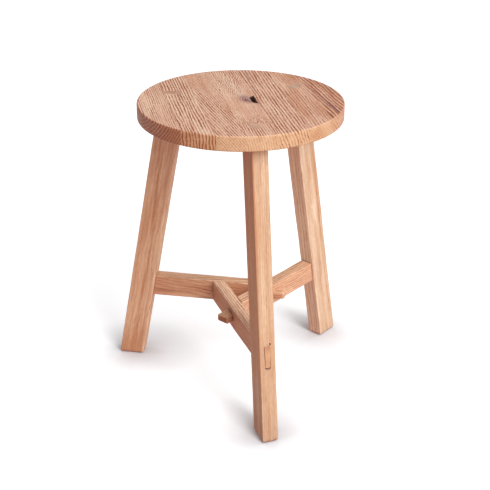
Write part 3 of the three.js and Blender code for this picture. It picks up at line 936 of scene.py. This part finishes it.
FLOOR_SIZE = 60.0  # from its middle to each side
FLOOR_DROP = 0.2 * MM  # how far it lies below the feet
FLOOR_TINT = (0.985, 0.985, 1.01, 1)
PLAIN_FROM, PLAIN_TO = 0.55, 1.7  # how far from the stool the floor turns to an even white
PAINTED_SHADOW_REACH, PAINTED_SHADOW_POWER, GLOW = 0.095, 8.0, 0.48  # painted shadow: the floor's glow is dimmed where something stands close, as a contact shadow


def floor_paper():
    """Pale paper that glows a little, with painted contact shadows where its glow is dimmed near the stool,
    and evenly white further out.
    """
    material = bpy.data.materials.new("floor_paper")
    material.use_nodes = True
    n = Nodes(material)
    place = n.add("TexCoord")["Object"]
    distance = n.add("VectorMath", (place,), operation="LENGTH")["Value"]
    open_above = n.add("AmbientOcclusion", {"Distance": PAINTED_SHADOW_REACH})["AO"]
    # Painted contact shadow: the glow falls off with the ambient occlusion round the feet.
    glow_with_painted_shadow = n.math("MULTIPLY", n.math("POWER", open_above, PAINTED_SHADOW_POWER), GLOW)
    far = n.ramp(distance, PLAIN_FROM, PLAIN_TO, 0.0, 0.6)
    grey = n.ramp(distance, PLAIN_FROM, PLAIN_TO, 0.72, 0.1)
    shader = material.node_tree.nodes["Principled BSDF"]
    shader.inputs["Roughness"].default_value = 0.9
    shader.inputs["Specular IOR Level"].default_value = 0.0
    shader.inputs["Emission Color"].default_value = (1, 1, 1, 1)
    paper = n.mix(1.0, n.add("CombineColor", (grey, grey, grey))[0], FLOOR_TINT, "MULTIPLY")
    n.tree.links.new(paper, shader.inputs["Base Color"])
    n.tree.links.new(n.math("ADD", glow_with_painted_shadow, far), shader.inputs["Emission Strength"])
    return material


corners = [(x * FLOOR_SIZE, y * FLOOR_SIZE, 0) for x, y in ((-1, -1), (1, -1), (1, 1), (-1, 1))]
floor = mesh_object("floor", corners, [(0, 1, 2, 3)])
floor.location = (AXIS[0], AXIS[1], -FLOOR_DROP)
floor.data.materials.append(floor_paper())
floor.visible_diffuse = False  # the world below the horizon gives the stool its bounced light instead


FLOOR_BOUNCE, WALLS = (0.56, 0.26, 0.21, 1), (0.5, 0.5, 0.5, 1)


def studio_world():
    """Even light from the walls and the ceiling, and warm light that the floor throws back."""
    world = bpy.data.worlds.new("studio")
    world.use_nodes = True
    n = Nodes(world)
    height = n.add("SeparateXYZ", (n.add("TexCoord")["Generated"],))["Z"]
    colour = n.mix(n.ramp(height, -0.03, 0.0), FLOOR_BOUNCE, WALLS)
    n.tree.links.new(colour, world.node_tree.nodes["Background"].inputs["Color"])
    return world


bpy.context.scene.world = studio_world()


def softbox(name, azimuth, elevation, distance, width, height, power):
    light = bpy.data.lights.new(name, "AREA")
    light.shape, light.size, light.size_y, light.energy = "ELLIPSE", width, height, power
    obj = bpy.data.objects.new(name, light)
    bpy.context.scene.collection.objects.link(obj)
    a, e = math.radians(azimuth), math.radians(elevation)
    toward = Vector((math.cos(a) * math.cos(e), math.sin(a) * math.cos(e), math.sin(e)))
    target = Vector((AXIS[0], AXIS[1], SEAT_TOP / 2))
    obj.location = target + toward * distance
    obj.rotation_euler = (-toward).to_track_quat("-Z", "Y").to_euler()
    return obj


softbox("key_softbox", azimuth=-68, elevation=36, distance=6.0, width=2.4, height=6.4, power=355)
softbox("side_softbox", azimuth=-12, elevation=18, distance=6.0, width=3.0, height=3.0, power=30)
softbox("top_softbox", azimuth=-70, elevation=84, distance=4.0, width=3.0, height=3.0, power=28)

CAMERA_AZIMUTH, CAMERA_ELEVATION, CAMERA_ROLL = -11.69, 26.01, 0.222
CAMERA_DISTANCE, CAMERA_LENS = 1.6882, 80.69
CAMERA_TARGET = (6.83 * MM, -1.41 * MM, 222.66 * MM)  # from the seat's axis, on the floor

camera_data = bpy.data.cameras.new("camera")
camera_data.lens, camera_data.sensor_width = CAMERA_LENS, 36
camera = bpy.data.objects.new("camera", camera_data)
bpy.context.scene.collection.objects.link(camera)
a, e = math.radians(CAMERA_AZIMUTH), math.radians(CAMERA_ELEVATION)
back = Vector((math.sin(a) * math.cos(e), -math.cos(a) * math.cos(e), math.sin(e)))
camera.location = Vector(AXIS) + Vector(CAMERA_TARGET) + back * CAMERA_DISTANCE
level = (-back).to_track_quat("-Z", "Y").to_matrix()
camera.rotation_euler = (level @ Matrix.Rotation(math.radians(CAMERA_ROLL), 3, "Z")).to_euler()
bpy.context.scene.camera = camera
bpy.context.scene.view_settings.view_transform = "Standard"
